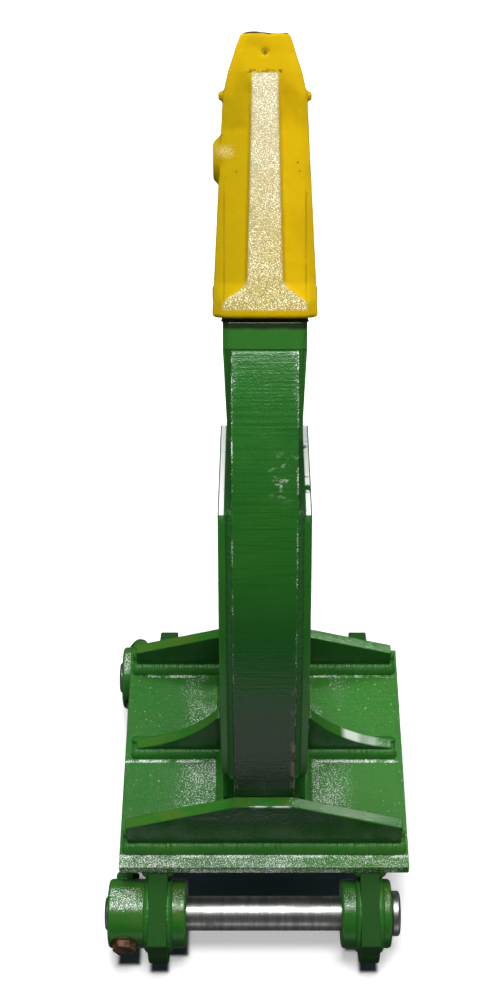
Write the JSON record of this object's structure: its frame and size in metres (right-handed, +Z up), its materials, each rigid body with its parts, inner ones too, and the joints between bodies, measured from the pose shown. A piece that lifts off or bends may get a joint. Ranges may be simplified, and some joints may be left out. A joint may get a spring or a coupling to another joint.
{
  "type": "excavator ripper",
  "caption": "Pin-on excavator ripper: curved plate shank with cheek plates and gussets on a base plate, hanger ears with pins, and a cast chisel tooth.",
  "frame": {"origin": "midway between the two hanger pins, on the plane of their axes and the shank's mid plane", "axes": "+X along the pins towards their heads, +Y from the shank's heel to its hollow side, +Z up to the tooth, square to the base plate"},
  "size_m": [0.312, 0.5171, 0.8081],
  "materials": {
    "green_paint": "gloss",
    "yellow_paint": "gloss",
    "bare_steel": "satin",
    "rusty_steel": "rough"
  },
  "bodies": {
    "root": {"base_plate": "green_paint", "shank": "green_paint", "left_cheek_plate": "green_paint", "right_cheek_plate": "green_paint", "front_gusset": "green_paint", "left_mid_gusset": "green_paint", "right_mid_gusset": "green_paint", "left_rear_gusset": "green_paint", "right_rear_gusset": "green_paint", "left_ear": "green_paint", "right_ear": "green_paint", "front_left_boss": "green_paint", "front_right_boss": "green_paint", "rear_left_boss": "green_paint", "rear_right_boss": "green_paint", "front_pin": "bare_steel", "rear_pin": "bare_steel", "front_bolt": "rusty_steel", "rear_bolt": "rusty_steel", "front_nut": "rusty_steel", "rear_nut": "rusty_steel", "front_washers": "rusty_steel", "rear_washers": "rusty_steel", "tooth_adapter": "green_paint", "tooth": "yellow_paint", "tooth_pin": "bare_steel", "base_welds": "green_paint", "cheek_welds": "green_paint", "ear_welds": "green_paint", "boss_welds": "green_paint", "adapter_welds": "green_paint"}
  },
  "joints": []
}
